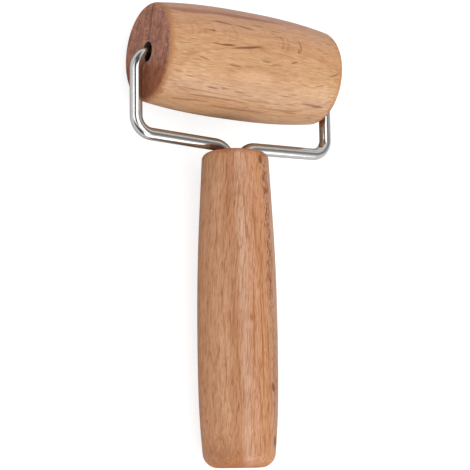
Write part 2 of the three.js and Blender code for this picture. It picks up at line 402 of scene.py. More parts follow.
def add(tree, kind, inputs=(), **settings):
    node = tree.nodes.new(kind)
    for name, value in settings.items():
        setattr(node, name, value)
    for socket, value in dict(inputs).items():
        feed(tree, node.inputs[socket], value)
    return node


def calc(tree, operation, *values, clamp=False):
    node = add(tree, "ShaderNodeMath", dict(enumerate(values)), operation=operation)
    node.use_clamp = clamp
    return node.outputs[0]


def plus(tree, first, second):
    return calc(tree, "ADD", first, second)


def minus(tree, first, second):
    return calc(tree, "SUBTRACT", first, second)


def times(tree, first, second):
    return calc(tree, "MULTIPLY", first, second)


def larger(tree, first, second):
    return calc(tree, "MAXIMUM", first, second)


def vector_calc(tree, operation, first, second):
    return add(tree, "ShaderNodeVectorMath", {0: first, 1: second}, operation=operation).outputs[0]


# %% [markdown]
# Most effects are noise, a range of it, and a mix of two colours. Noise that is drawn out along the fibres
# has a scale for each axis. A range is always smooth at both ends, because wood has no hard steps.

# %% Noise, range and colour helpers
def between(tree, value, low, high, new_low=0.0, new_high=1.0):
    """Maps a value smoothly from one range to another."""
    sockets = {"Value": value, "From Min": low, "From Max": high, "To Min": new_low, "To Max": new_high}
    return add(tree, "ShaderNodeMapRange", sockets, interpolation_type="SMOOTHSTEP").outputs["Result"]


def stretched(tree, vector, scale, shift=(0.0, 0.0, 0.0)):
    node = add(tree, "ShaderNodeVectorMath", {0: vector, 1: scale, 2: shift}, operation="MULTIPLY_ADD")
    return node.outputs[0]


def noise(tree, vector, scale, detail=2.0, roughness=0.5, distortion=0.0):
    """Noise at one scale, or at a scale for each axis, in blots per millimetre."""
    if isinstance(scale, tuple):
        vector = stretched(tree, vector, scale)
        scale = 1.0
    sockets = {"Vector": vector, "Scale": scale, "Detail": detail, "Roughness": roughness,
               "Distortion": distortion}
    return add(tree, "ShaderNodeTexNoise", sockets).outputs["Fac"]


def blended(tree, share, first, second, how="MIX"):
    node = add(tree, "ShaderNodeMix", data_type="RGBA", blend_type=how)
    for socket, value in ((0, share), (6, first), (7, second)):
        feed(tree, node.inputs[socket], value)
    return node.outputs[2]


# %% Group and material helpers
def new_group(name, inputs, outputs):
    """A group from {label: value} and {label: kind}. Three values make a vector, and four a colour."""
    group = bpy.data.node_groups.new(name, "ShaderNodeTree")
    for label, value in inputs.items():
        kind = {3: "Vector", 4: "Color"}[len(value)] if isinstance(value, tuple) else "Float"
        socket = group.interface.new_socket(name=label, in_out="INPUT", socket_type="NodeSocket" + kind)
        socket.default_value = value
    for label, kind in outputs.items():
        group.interface.new_socket(name=label, in_out="OUTPUT", socket_type="NodeSocket" + kind)
    return group, group.nodes.new("NodeGroupInput").outputs, group.nodes.new("NodeGroupOutput").inputs


def use_group(tree, group, inputs):
    """Places a group in a network, with its own values, and returns what comes out of it."""
    node = tree.nodes.new("ShaderNodeGroup")
    node.node_tree = group
    for socket, value in inputs.items():
        feed(tree, node.inputs[socket], value)
    return node.outputs


def new_material(name):
    material = bpy.data.materials.new(name)
    material.use_nodes = True
    return material, material.node_tree, material.node_tree.nodes["Principled BSDF"]


def in_millimetres(tree, centre, turn=(0, 0, 0)):
    """The place of a point on its piece, measured in millimetres from a centre along turned axes."""
    where = add(tree, "ShaderNodeTexCoord").outputs["Object"]
    sockets = {"Vector": where, "Location": centre, "Scale": (MM, MM, MM), "Rotation": turn}
    return add(tree, "ShaderNodeMapping", sockets, vector_type="TEXTURE").outputs[0]


# %% [markdown]
# ## How beech grows
# Sawn beech shows three things: yearly rings round the pith, broad rays that run out from the pith, and
# fine pores. What a surface shows depends on how it cuts them, so painting lines on the surface never looks
# right at the ends. This group turns a place in the wood into growth coordinates instead: round the pith,
# out from the pith and along the trunk, all in millimetres. Rings, rays, pores and fibres are drawn in
# those.

# %% Growth coordinates
ORIGIN = (0.0, 0.0, 0.0)
PITH_DISTANCE = 60.0
WANDER_SCALE = (0.03, 0.03, 0.009)

growth, growth_in, growth_out = new_group(
    "Beech growth", {"Place": ORIGIN, "Pith Distance": PITH_DISTANCE, "Wander": 2.0}, {"Growth": "Vector"},
)
slow = stretched(growth, growth_in["Place"], WANDER_SCALE)
drift = add(growth, "ShaderNodeTexNoise", {"Vector": slow, "Scale": 1.0, "Detail": 1.5}).outputs["Color"]
centred = vector_calc(growth, "SUBTRACT", drift, (0.5, 0.5, 0.5))
moved = add(growth, "ShaderNodeVectorMath", {0: centred, "Scale": growth_in["Wander"]}, operation="SCALE")
wandered = vector_calc(growth, "ADD", growth_in["Place"], moved.outputs[0])
axes = add(growth, "ShaderNodeSeparateXYZ", {0: wandered}).outputs
from_pith = plus(growth, axes["X"], growth_in["Pith Distance"])
flat = add(growth, "ShaderNodeCombineXYZ", {"X": from_pith, "Y": axes["Y"]})
outward = add(growth, "ShaderNodeVectorMath", {0: flat.outputs[0]}, operation="LENGTH").outputs["Value"]
bearing = calc(growth, "ARCTAN2", axes["Y"], from_pith)
around = times(growth, bearing, growth_in["Pith Distance"])
grown = add(growth, "ShaderNodeCombineXYZ", {"X": around, "Y": outward, "Z": axes["Z"]})
growth.links.new(grown.outputs[0], growth_out["Growth"])
print("group:", growth.name)

# %% [markdown]
# ## Rays and pores
# A broad ray is a thin upright ribbon of cells: a fraction of a millimetre thick, a few millimetres tall
# along the trunk, and long outwards. Cut across, it is the short dark fleck that marks beech. Scattering
# stretched cells in growth coordinates gives the fleck on the side, the wider figure where the surface
# turns to the quarter, and thin radial lines on the end grain, all from one group. Pores use it with other
# sizes. Each cell draws lots for whether it is there, how large it is and how dark.

# %% Fleck group
LEAST_SIZE = 0.45
SOFT_EDGE = 0.55

flecks, flecks_in, flecks_out = new_group(
    "Wood flecks",
    {"Growth": ORIGIN, "Per Millimetre": (1.0, 0.05, 0.2), "Size": 0.2, "Share": 0.5, "Seed": 0.0},
    {"Mask": "Float", "Tone": "Float"},
)
spread = vector_calc(flecks, "MULTIPLY", flecks_in["Growth"], flecks_in["Per Millimetre"])
seeded = vector_calc(flecks, "ADD", spread, flecks_in["Seed"])
cells = add(flecks, "ShaderNodeTexVoronoi", {"Vector": seeded, "Scale": 1.0, "Randomness": 1.0}).outputs
lots = add(flecks, "ShaderNodeSeparateColor", {0: cells["Color"]}).outputs
chosen = calc(flecks, "LESS_THAN", lots["Red"], flecks_in["Share"])
own_size = times(flecks, flecks_in["Size"], plus(flecks, lots["Green"], LEAST_SIZE))
depth = calc(flecks, "SUBTRACT", 1.0, calc(flecks, "DIVIDE", cells["Distance"], own_size), clamp=True)
inside = between(flecks, depth, 0.0, SOFT_EDGE)
flecks.links.new(times(flecks, inside, chosen), flecks_out["Mask"])
flecks.links.new(lots["Blue"], flecks_out["Tone"])
print("group:", flecks.name)

# %% [markdown]
# ## Grain lines
# Between the rays the long fibres weave past each other and leave fine wavy lines, a third of a millimetre
# thick and up to a few centimetres long. Straight stripes look printed. The line where a slow, drawn-out
# noise crosses its own middle value weaves in the same way, and a second noise breaks it into strokes.

# %% Grain line group
lines, lines_in, lines_out = new_group(
    "Grain lines",
    {"Growth": ORIGIN, "Per Millimetre": (0.6, 0.03, 0.045), "Width": 0.06, "Seed": 0.0},
    {"Mask": "Float"},
)
drawn_out = vector_calc(lines, "MULTIPLY", lines_in["Growth"], lines_in["Per Millimetre"])
seeded = vector_calc(lines, "ADD", drawn_out, lines_in["Seed"])
level = noise(lines, seeded, 1.0, 0.8)
off_level = calc(lines, "ABSOLUTE", minus(lines, level, 0.5))
stroke = between(lines, off_level, lines_in["Width"], 0.0)
breaks = between(lines, noise(lines, seeded, (1.6, 1.6, 2.6), 1.0), 0.4, 0.58)
lines.links.new(times(lines, stroke, breaks), lines_out["Mask"])
print("group:", lines.name)

# %% [markdown]
# ## Beech
# The colour is laid up as in the wood. The board's body colour comes in from the material, and its bands
# also carry painted light. Each ring darkens towards its latewood, bands and fibres tint it, and rays,
# lines and pores are drawn last, all in one darker colour of the same board. On the ends the fibres stand
# open and drink the oil, so the same wood turns brown over the rim and then dark, with pale specks where
# dust fills the pores. The group also puts out roughness and height, so that flecks and pores catch the
# light as well.

# %% Beech group: sockets, rings and fibres
beech, beech_in, beech_out = new_group(
    "Oiled beech",
    {
        "Growth": ORIGIN, "Body": (0.6, 0.35, 0.2, 1), "Ray": (0.3, 0.12, 0.05, 1),
        "Rim": (0.45, 0.21, 0.09, 1), "End": (0.3, 0.13, 0.08, 1), "Ring Width": 2.6, "End Share": 0.0,
        "Face Share": 0.0, "Ray Strength": 0.8, "Line Strength": 0.5,
        "Lines Per Millimetre": (0.6, 0.03, 0.045), "Woven Per Millimetre": (1.2, 0.04, 0.05),
        "Woven Strength": 0.3, "Weave": 0.4, "Seed": 0.0,
    },
    {"Color": "Color", "Roughness": "Float", "Height": "Float"},
)
grain = beech_in["Growth"]
seeded_grain = vector_calc(beech, "ADD", grain, beech_in["Seed"])

growth_axes = add(beech, "ShaderNodeSeparateXYZ", {0: grain}).outputs
years = calc(beech, "DIVIDE", growth_axes["Y"], beech_in["Ring Width"])
uneven = noise(beech, seeded_grain, (0.02, 0.35, 0.01))
year = calc(beech, "FRACT", plus(beech, years, times(beech, uneven, 2.2)))
latewood = times(beech, calc(beech, "POWER", year, 3.0), between(beech, year, 1.0, 0.9))

bands = noise(beech, seeded_grain, (0.16, 0.16, 0.006))
fibres = noise(beech, seeded_grain, (1.5, 1.5, 0.045), 4.0, 0.6)
fine_fibres = noise(beech, seeded_grain, (2.6, 2.6, 0.12), 3.0, 0.6)
wiggle = noise(beech, seeded_grain, (0.35, 0.35, 0.08))
bent = add(beech, "ShaderNodeCombineXYZ", {"X": times(beech, wiggle, beech_in["Weave"])})
bent_grain = vector_calc(beech, "ADD", seeded_grain, bent.outputs[0])
print("group:", beech.name, "with", len(beech_in) - 1, "inputs")

# %% Beech group: rays, pores and lines
ray_sizes = {
    "broad": {"Per Millimetre": (1.1, 0.02, 0.085), "Size": 0.27, "Share": 0.26, "Seed": 7.0},
    "small": {"Per Millimetre": (1.7, 0.03, 0.11), "Size": 0.3, "Share": 0.4, "Seed": 31.0},
    "tiny": {"Per Millimetre": (2.6, 0.04, 0.18), "Size": 0.38, "Share": 0.7, "Seed": 59.0},
}
pore_size = {"Per Millimetre": (2.6, 2.6, 0.5), "Size": 0.4, "Share": 0.55, "Seed": 53.0}
lines_wanted, weave_wanted = beech_in["Lines Per Millimetre"], beech_in["Woven Per Millimetre"]

broad_rays, small_rays, tiny_rays = (
    use_group(beech, flecks, {"Growth": bent_grain, **size}) for size in ray_sizes.values()
)
pores = use_group(beech, flecks, {"Growth": seeded_grain, **pore_size})["Mask"]
long_lines, short_lines = (
    use_group(beech, flecks, {"Growth": bent_grain, "Per Millimetre": scale, "Size": size, "Share": 0.75,
                              "Seed": start})
    for scale, size, start in (
        (lines_wanted, 0.27, 13.0),
        (stretched(beech, lines_wanted, (1.5, 1.5, 2.2)), 0.3, 83.0),
    )
)
broad_weave, fine_weave = (
    use_group(beech, lines, {"Growth": bent_grain, "Per Millimetre": scale, "Width": width, "Seed": start})
    for scale, width, start in (
        (weave_wanted, 0.07, 29.0),
        (stretched(beech, weave_wanted, (1.8, 1.5, 2.0)), 0.1, 61.0),
    )
)
print("rays per millimetre:", {kind: size["Per Millimetre"] for kind, size in ray_sizes.items()})

# %% [markdown]
# A tint has a darker and a lighter colour round plain white. Blue moves most and red least in both, because
# wood that gets darker also gets redder.

# %% Beech group: colour on the long side
BAND_TINTS = (0.985, 0.97, 0.95, 1), (1.015, 1.03, 1.05, 1)
FIBRE_TINTS = (0.955, 0.93, 0.88, 1), (1.03, 1.05, 1.09, 1)
FINE_TINTS = (0.91, 0.85, 0.73, 1), (1.08, 1.13, 1.23, 1)
RING_SHARE, TINY_RAY_SHARE, FINE_WEAVE_SHARE, PORE_SHARE = 0.3, 0.38, 0.6, 0.2


def toned(mask_and_tone, lightest, darkest):
    """The mask of a kind of fleck, with each fleck as dark as its own lot says."""
    tone = between(beech, mask_and_tone["Tone"], 0.0, 1.0, lightest, darkest)
    return times(beech, mask_and_tone["Mask"], tone)


band_tint = blended(beech, between(beech, bands, 0.3, 0.7), *BAND_TINTS)
banded = blended(beech, 1.0, beech_in["Body"], band_tint, "MULTIPLY")
ringed = blended(beech, times(beech, latewood, RING_SHARE), banded, beech_in["Ray"])
fibre_tint = blended(beech, between(beech, fibres, 0.28, 0.72), *FIBRE_TINTS)
fine_tint = blended(beech, between(beech, fine_fibres, 0.25, 0.75), *FINE_TINTS)
tint = blended(beech, 1.0, fibre_tint, fine_tint, "MULTIPLY")
streaked = blended(beech, 1.0, ringed, tint, "MULTIPLY")

larger_rays = larger(beech, toned(broad_rays, 0.25, 1.0), toned(small_rays, 0.15, 0.8))
rays = larger(beech, larger_rays, times(beech, tiny_rays["Mask"], TINY_RAY_SHARE))
drawn_lines = larger(beech, toned(long_lines, 0.3, 1.0), toned(short_lines, 0.2, 0.9))
line_share = times(beech, drawn_lines, beech_in["Line Strength"])
woven = larger(beech, broad_weave["Mask"], times(beech, fine_weave["Mask"], FINE_WEAVE_SHARE))
weave_share = times(beech, woven, beech_in["Woven Strength"])
lined = blended(beech, larger(beech, line_share, weave_share), streaked, beech_in["Ray"])
rayed = blended(beech, times(beech, rays, beech_in["Ray Strength"]), lined, beech_in["Ray"])
pored = blended(beech, times(beech, pores, PORE_SHARE), rayed, beech_in["Ray"])
print("tints:", len((BAND_TINTS, FIBRE_TINTS, FINE_TINTS)), "pairs")

# %% Beech group: colour on the ends
END_RAY_COLOR = (0.12, 0.04, 0.025, 1)
DUST_COLOR = (0.50, 0.31, 0.24, 1)
dust_size = {"Per Millimetre": (0.8, 0.8, 0.4), "Size": 0.42, "Share": 0.7, "Seed": 71.0}

mottle = between(beech, noise(beech, seeded_grain, (0.3, 0.3, 0.1), 3.0, 0.6), 0.3, 0.7, 0.75, 1.3)
speckle = between(beech, noise(beech, seeded_grain, (1.0, 1.0, 0.5), 3.0, 0.75), 0.32, 0.68, 0.72, 1.3)
end_color = blended(beech, 1.0, beech_in["End"], times(beech, mottle, speckle), "MULTIPLY")
end_lines = larger(beech, rays, times(beech, latewood, 0.5))
end_rayed = blended(beech, times(beech, end_lines, 0.6), end_color, END_RAY_COLOR)
dust = use_group(beech, flecks, {"Growth": seeded_grain, **dust_size})
dusty = blended(beech, toned(dust, 0.1, 0.75), end_rayed, DUST_COLOR)
over_rim = between(beech, beech_in["End Share"], 0.0, 0.6)
rim_color = blended(beech, 1.0, beech_in["Rim"], tint, "MULTIPLY")
rimmed = blended(beech, over_rim, pored, rim_color)
beech.links.new(blended(beech, beech_in["Face Share"], rimmed, dusty), beech_out["Color"])

# %% Beech group: roughness and height
PLAIN_ROUGHNESS, FIBRE_ROUGHNESS, PORE_ROUGHNESS, END_ROUGHNESS = 0.50, 0.25, 0.1, 0.25
RAY_DEPTH, PORE_DEPTH = 0.9, 0.5

smooth = plus(beech, PLAIN_ROUGHNESS, times(beech, minus(beech, fibres, 0.5), FIBRE_ROUGHNESS))
open_pores = plus(beech, smooth, times(beech, pores, PORE_ROUGHNESS))
roughness = plus(beech, open_pores, times(beech, beech_in["End Share"], END_ROUGHNESS))
beech.links.new(roughness, beech_out["Roughness"])
sunk = plus(beech, times(beech, rays, RAY_DEPTH), times(beech, pores, PORE_DEPTH))
beech.links.new(minus(beech, fibres, sunk), beech_out["Height"])
print("group:", beech.name, len(beech.nodes), "nodes")

# %% [markdown]
# ## Where the end grain starts
# The long side of a turned piece is cut along the fibres and its ends are cut across them. On the rounded
# rim between the two the wood darkens, never along a clean line, and the flat face has its own frayed edge.
# Both shares are therefore read from the distance along the piece, with a coarse and a fine noise in them.

# %% End grain group
COARSE_FRAY, FINE_FRAY, MEAN_FRAY = 6.0, 5.0, 5.6
FULL_BEFORE_END = 0.15
FACE_FRAY, FACE_START, FACE_FULL = 1.1, -0.3, 0.05

ends, ends_in, ends_out = new_group(
    "End grain share", {"Place": ORIGIN, "Half Length": 40.0, "Reach": 1.5},
    {"Share": "Float", "Face": "Float"},
)
along = add(ends, "ShaderNodeSeparateXYZ", {0: ends_in["Place"]}).outputs["Z"]
off_middle = calc(ends, "ABSOLUTE", along)
ragged = noise(ends, ends_in["Place"], (0.5, 0.5, 0.15), 3.0, 0.6)
frayed = noise(ends, ends_in["Place"], (1.7, 1.7, 0.3), 3.0, 0.6)
fray = plus(ends, times(ends, ragged, COARSE_FRAY), times(ends, frayed, FINE_FRAY))
near = plus(ends, off_middle, minus(ends, fray, MEAN_FRAY))
start = minus(ends, ends_in["Half Length"], ends_in["Reach"])
rim_share = between(ends, near, start, minus(ends, ends_in["Half Length"], FULL_BEFORE_END))
ends.links.new(rim_share, ends_out["Share"])
from_end = minus(ends, ends_in["Half Length"], off_middle)
frayed_edge = plus(ends, times(ends, plus(ends, frayed, ragged), FACE_FRAY), FACE_START)
ends.links.new(between(ends, from_end, frayed_edge, FACE_FULL), ends_out["Face"])
print("group:", ends.name)

# %% [markdown]
# ## Placed marks
# A real board also has a few marks that are its own: a long ray cut lengthwise, a ripple round a pin knot,
# a line that runs half its length. Noise would never put them where they sit on this board. Each is a soft
# ellipse with a middle, a half size, a slope and a curve, in millimetres across and along the board.

# %% Placed mark group
marks, marks_in, marks_out = new_group(
    "Placed mark",
    {
        "Across": 0.0, "Along": 0.0, "Middle Across": 0.0, "Middle Along": 0.0,
        "Half Width": 0.5, "Half Length": 5.0, "Slope": 0.0, "Curve": 0.0,
    },
    {"Mask": "Float"},
)
aside = minus(marks, marks_in["Across"], marks_in["Middle Across"])
onward = minus(marks, marks_in["Along"], marks_in["Middle Along"])
leaned = minus(marks, aside, times(marks, onward, marks_in["Slope"]))
square = times(marks, aside, aside)
curved = minus(marks, onward, times(marks, square, marks_in["Curve"]))
spot = add(marks, "ShaderNodeCombineXYZ", {
    "X": calc(marks, "DIVIDE", leaned, marks_in["Half Width"]),
    "Y": calc(marks, "DIVIDE", curved, marks_in["Half Length"]),
})
reach = add(marks, "ShaderNodeVectorMath", {0: spot.outputs[0]}, operation="LENGTH").outputs["Value"]
marks.links.new(between(marks, reach, 1.0, 0.45), marks_out["Mask"])
print("group:", marks.name)

# %% [markdown]
# ## The two wooden finishes
# Both pieces are the same oiled beech, cut from different boards. A Mapping node turns and centres the
# wood on each piece, in millimetres, with its grain along the piece and its pith a few centimetres away. A
# board also changes colour from one side to the other, in long bands, and a colour ramp across the board
# holds those; on both boards some bands also hold painted light. Its rays and its rim are shares of that
# same colour, and its grain may lean a little against the piece. The sockets of the shader that never vary
# are set on the shader itself.

# %% Wood material
SWAY_SCALE, BAND_SWAY = (0.4, 0.4, 0.05), 1.0
BAND_MARGIN = 2
RIM_SHARE = (0.84, 0.71, 0.60)


def dotted(tree, vector, direction):
    node = add(tree, "ShaderNodeVectorMath", {0: vector, 1: direction}, operation="DOT_PRODUCT")
    return node.outputs["Value"]


def board_bands_and_light(tree, across, bands):
    """The long colour bands of one board, painted light included, from one side of the piece to the other.
    """
    half_width = bands[-1][0] + BAND_MARGIN
    sockets = {"Value": across, "From Min": -half_width, "From Max": half_width}
    share = add(tree, "ShaderNodeMapRange", sockets).outputs["Result"]
    ramp = add(tree, "ShaderNodeValToRGB", {"Fac": share})
    ramp.color_ramp.interpolation = "EASE"
    stops = ramp.color_ramp.elements
    for position, color in bands:
        stop = stops.new((position / half_width + 1) / 2)
        stop.color = (*color, 1)
    stops.remove(stops[0])
    stops.remove(stops[-1])
    return ramp.outputs["Color"]


def start_wood(name, centre, grain_axis, from_pith, board, lean, end, bands, ray_share, wood):
    """Beech with its grain and its colour bands along two axes. Returns what is needed to finish it."""
    material, tree, shader = new_material(name)
    third = grain_axis.normalized()
    first = (from_pith - third * from_pith.dot(third)).normalized()
    turned_axes = Matrix((first, third.cross(first), third))
    board_axis = turned_axes @ board.normalized()
    place = in_millimetres(tree, centre, turned_axes.transposed().to_euler())
    along = dotted(tree, place, (0, 0, 1))
    leaned = stretched(tree, along, board_axis * lean, place)
    grown_place = use_group(tree, growth, {"Place": leaned, "Pith Distance": PITH_DISTANCE})["Growth"]
    sway = times(tree, minus(tree, noise(tree, place, SWAY_SCALE, 3.0), 0.5), BAND_SWAY)
    across = plus(tree, dotted(tree, place, board_axis), sway)
    depth = dotted(tree, place, turned_axes @ third.cross(board).normalized())
    end_shares = use_group(tree, ends, {"Place": place, **end})
    body = board_bands_and_light(tree, across, bands)
    made = use_group(tree, beech, {
        "Growth": grown_place, "Body": body, "Ray": stretched(tree, body, ray_share),
        "Rim": stretched(tree, body, RIM_SHARE), "End Share": end_shares["Share"],
        "Face Share": end_shares["Face"], **wood,
    })
    return {
        "material": material, "tree": tree, "shader": shader, "place": place, "across": across,
        "along": along, "depth": depth, "rim": end_shares["Share"], "face": end_shares["Face"],
        "made": made,
    }


# %% [markdown]
# A mark is written as (across, along, half width, half length, slope, curve, strength), in millimetres from
# the middle of the board. Marks sit only on the side of the board that was looked at: on the other side
# nothing is known, and the same lines would run through the wood like pins.

# %% Marks and finish
WOOD_GLOSS = 0.35
GRAIN_BUMP, GRAIN_HEIGHT = 0.2, 0.05 * MM


def add_marks(parts, color, mark_color, placed, figure=1.0):
    """Draws marks over a colour. The figure fades or breaks them all."""
    tree, shares = parts["tree"], 0.0
    for across, along, half_width, half_length, slope, curve, strength in placed:
        mask = use_group(tree, marks, {
            "Across": parts["across"], "Along": parts["along"], "Middle Across": across,
            "Middle Along": along, "Half Width": half_width, "Half Length": half_length, "Slope": slope,
            "Curve": curve,
        })["Mask"]
        shares = larger(tree, times(tree, mask, strength), shares)
    in_front = times(tree, calc(tree, "GREATER_THAN", parts["depth"], 0.0), figure)
    return blended(tree, times(tree, shares, in_front), color, mark_color)


def finish_wood(parts, color, piece):
    tree, shader, made = parts["tree"], parts["shader"], parts["made"]
    sockets = {"Strength": GRAIN_BUMP, "Distance": GRAIN_HEIGHT, "Height": made["Height"]}
    bump = add(tree, "ShaderNodeBump", sockets)
    tree.links.new(color, shader.inputs["Base Color"])
    tree.links.new(made["Roughness"], shader.inputs["Roughness"])
    tree.links.new(bump.outputs[0], shader.inputs["Normal"])
    shader.inputs["Specular IOR Level"].default_value = WOOD_GLOSS
    piece.data.materials.append(parts["material"])


# %% [markdown]
# ## The roller's own board
# The roller's board is rosy at its upper edge, and its bands are palest a little below its middle, where a
# painted sheen lies along the barrel. Two pairs of long dark dashes lie in its upper half, and finer ones
# streak its lower edge. Each is a broad ray that the lathe cut lengthwise. A reddish line follows the upper
# edge.

# %% Roller beech: board and dashes
RAY_COLOR = (0.25, 0.085, 0.03, 1)
RED_LINE_COLOR = (0.37, 0.13, 0.07, 1)
# the board's colour bands; the pale band ten millimetres below the middle is partly a painted sheen
roller_bands_and_sheen = [
    (-22, (0.69, 0.40, 0.22)), (-13, (0.64, 0.39, 0.235)), (-10, (0.70, 0.43, 0.25)),
    (-2, (0.62, 0.352, 0.177)), (8, (0.67, 0.37, 0.19)), (15, (0.655, 0.352, 0.192)),
    (22, (0.59, 0.315, 0.215)),
]
roller_wood = {
    "Ring Width": 3.4, "End": (0.55, 0.235, 0.155, 1), "Ray Strength": 0.8, "Line Strength": 0.4,
    "Lines Per Millimetre": (1.0, 0.04, 0.06), "Woven Per Millimetre": (0.9, 0.04, 0.045),
    "Woven Strength": 0.18, "Weave": 0.4, "Seed": 11.0,
}
roller_dashes = [
    (4.9, -18.0, 0.6, 4.6, 0.07, 0, 1.0), (5.1, -8.6, 0.75, 10.0, 0.16, 0, 1.0),
    (14.7, -19.0, 0.55, 6.5, -0.03, 0, 0.75), (14.2, -8.5, 0.5, 6.5, -0.1, 0, 0.75),
    (9.6, 20.0, 4.2, 0.6, 0, -0.1, 0.6), (7.4, 18.6, 1.5, 0.7, 0, -0.1, 0.6),
    (1.8, 16.0, 0.45, 2.4, 0.3, 0, 0.75), (-0.7, 39.0, 0.45, 3.6, 0.35, 0, 0.8),
    (-6.3, 31.5, 0.35, 3.6, 0.3, 0, 0.6), (-13.7, -21.5, 0.45, 3.8, -0.06, 0, 0.75),
    (-14.8, 32.0, 0.6, 8.5, 0, 0, 0.65), (10.4, -24.5, 0.9, 1.2, 0, 0, 0.6),
    (-2.2, -29.0, 0.4, 3.6, -0.2, 0, 0.7), (-14.0, -8.5, 0.4, 3.6, -0.08, 0, 0.6),
    (-13.2, -16.0, 0.4, 3.0, -0.1, 0, 0.5), (-15.4, -28.0, 0.4, 11.0, -0.03, 0, 0.45),
    (-17.6, -18.0, 0.45, 16.0, 0, 0, 0.5), (-19.4, -29.0, 0.4, 12.0, 0, 0, 0.5),
    (-16.6, 5.0, 0.4, 14.0, 0.01, 0, 0.4), (-18.8, 14.0, 0.45, 14.0, 0, 0, 0.45),
    (-20.6, -5.0, 0.5, 20.0, 0, 0, 0.45), (0.4, 1.5, 0.5, 3.0, -0.05, 0, 0.6),
    (-0.9, 5.0, 0.4, 2.4, 0.1, 0, 0.6), (-10.3, -34.0, 0.35, 3.0, -0.1, 0, 0.6),
]
red_line = [(19.3, -8.0, 1.2, 28.0, 0.012, 0, 0.85), (18.4, -33.0, 1.2, 15.0, 0.05, 0, 0.75)]

wood = start_wood(
    "Roller beech", ROLLER_CENTRE, grain_axis=Vector((1, 0, 0)), from_pith=Vector((0, -0.6, 0.8)),
    board=Vector((0, 0.974, 0.226)), lean=0.0, end={"Half Length": ROLLER_HALF_LENGTH / MM, "Reach": 4.0},
    bands=roller_bands_and_sheen, ray_share=(0.50, 0.29, 0.12), wood=roller_wood,
)
tree, place, across, along, depth, rim, face = (
    wood[part] for part in ("tree", "place", "across", "along", "depth", "rim", "face")
)
color = add_marks(wood, wood["made"]["Color"], RAY_COLOR, roller_dashes)
color = add_marks(wood, color, RED_LINE_COLOR, red_line)
print("roller beech:", len(roller_bands_and_sheen), "bands and", len(roller_dashes), "dashes")

# %% [markdown]
# Where a pin knot lies under the surface the fibres bow round it, and the light catches them as a patch of
# ripples. A sine wave along the board, bent to an arc and disturbed by noise, gives three such patches.

# %% Roller beech: ripples
ARC_MIDDLE, ARC_CURVE = 9.8, 0.11
RIPPLE_PACE, RIPPLE_WANDER, RIPPLE_SHARE = 2.1, 9.0, 0.15
rippled_places = [
    (10.0, -33.0, 5.0, 6.0, 0, 0, 1.0), (10.5, -15.5, 5.0, 7.0, 0, 0, 1.0),
    (9.6, 11.0, 5.0, 4.5, 0, 0, 2.0),
]

off_arc = minus(tree, across, ARC_MIDDLE)
arc = plus(tree, along, times(tree, times(tree, off_arc, off_arc), ARC_CURVE))
wander = times(tree, noise(tree, place, (0.35, 0.35, 0.35), 3.0), RIPPLE_WANDER)
wave = calc(tree, "SINE", plus(tree, times(tree, arc, RIPPLE_PACE), wander))
ripples = times(tree, between(tree, wave, -0.4, 1.0), RIPPLE_SHARE)
color = add_marks(wood, color, RAY_COLOR, rippled_places, ripples)
print("ripples:", len(rippled_places), "patches")

# %% [markdown]
# As the wood dried, a fine check opened in each end face, upwards from the hole. The low side of each rim
# is painted darker as painted shade, and the face just below the hole carries a painted shadow of the wire
# arm. The hole is drilled, its inside is painted nearly black as painted shade, and the wire has rubbed its
# mouth pale.

# %% Roller beech: ends and hole
CHECK_COLOR, CHECK_SHARE, CHECK_LEAN = (0.12, 0.035, 0.025, 1), 0.6, 0.12
# painted shade: the low side of each rim is darkened where the rounded edge turns from the light
LOW_RIM_SHADE_COLOR, LOW_RIM_SHADE_SHARE = (0.42, 0.18, 0.075, 1), 0.75
# painted shadow: the wire arm's shadow on the end face, just below the hole
ARM_SHADOW_TINT, ARM_SHADOW_SHARE = (0.78, 0.56, 0.38, 1), 0.85
MOUTH_COLOR, MOUTH_SHARE, MOUTH_EDGE = (0.60, 0.42, 0.33, 1), 0.7, (5.0, 4.75)
# painted shade: the inside of the hole is painted nearly black
HOLE_SHADE_COLOR, HOLE_SHADE_EDGE = (0.09, 0.05, 0.032, 1), (4.55, 4.3)

radial = add(tree, "ShaderNodeSeparateXYZ", {0: place}).outputs
squares = plus(tree, times(tree, radial["X"], radial["X"]), times(tree, radial["Y"], radial["Y"]))
from_axis = calc(tree, "SQRT", squares)
beside_check = calc(tree, "ABSOLUTE", minus(tree, depth, times(tree, across, CHECK_LEAN)))
check = times(tree, between(tree, beside_check, 1.1, 0.3), between(tree, across, 3.5, 5.5))
color = blended(tree, times(tree, check, times(tree, face, CHECK_SHARE)), color, CHECK_COLOR)
# painted shade on the low side of the rim
low_rim_shade = times(tree, between(tree, across, -5.0, -18.0), between(tree, rim, 0.1, 0.7))
color = blended(tree, times(tree, low_rim_shade, LOW_RIM_SHADE_SHARE), color, LOW_RIM_SHADE_COLOR)
# painted shadow of the wire arm, darkening the face below the hole
arm_shadow_on_face = times(tree, between(tree, across, -2.0, -9.0), face)
color = blended(tree, times(tree, arm_shadow_on_face, ARM_SHADOW_SHARE), color, ARM_SHADOW_TINT, "MULTIPLY")
worn = times(tree, between(tree, from_axis, *MOUTH_EDGE), between(tree, face, 0.9, 1.0))
color = blended(tree, times(tree, worn, MOUTH_SHARE), color, MOUTH_COLOR)
# painted shade inside the hole
color = blended(tree, between(tree, from_axis, *HOLE_SHADE_EDGE), color, HOLE_SHADE_COLOR)
finish_wood(wood, color, roller)
print("roller beech:", len(tree.nodes), "nodes")
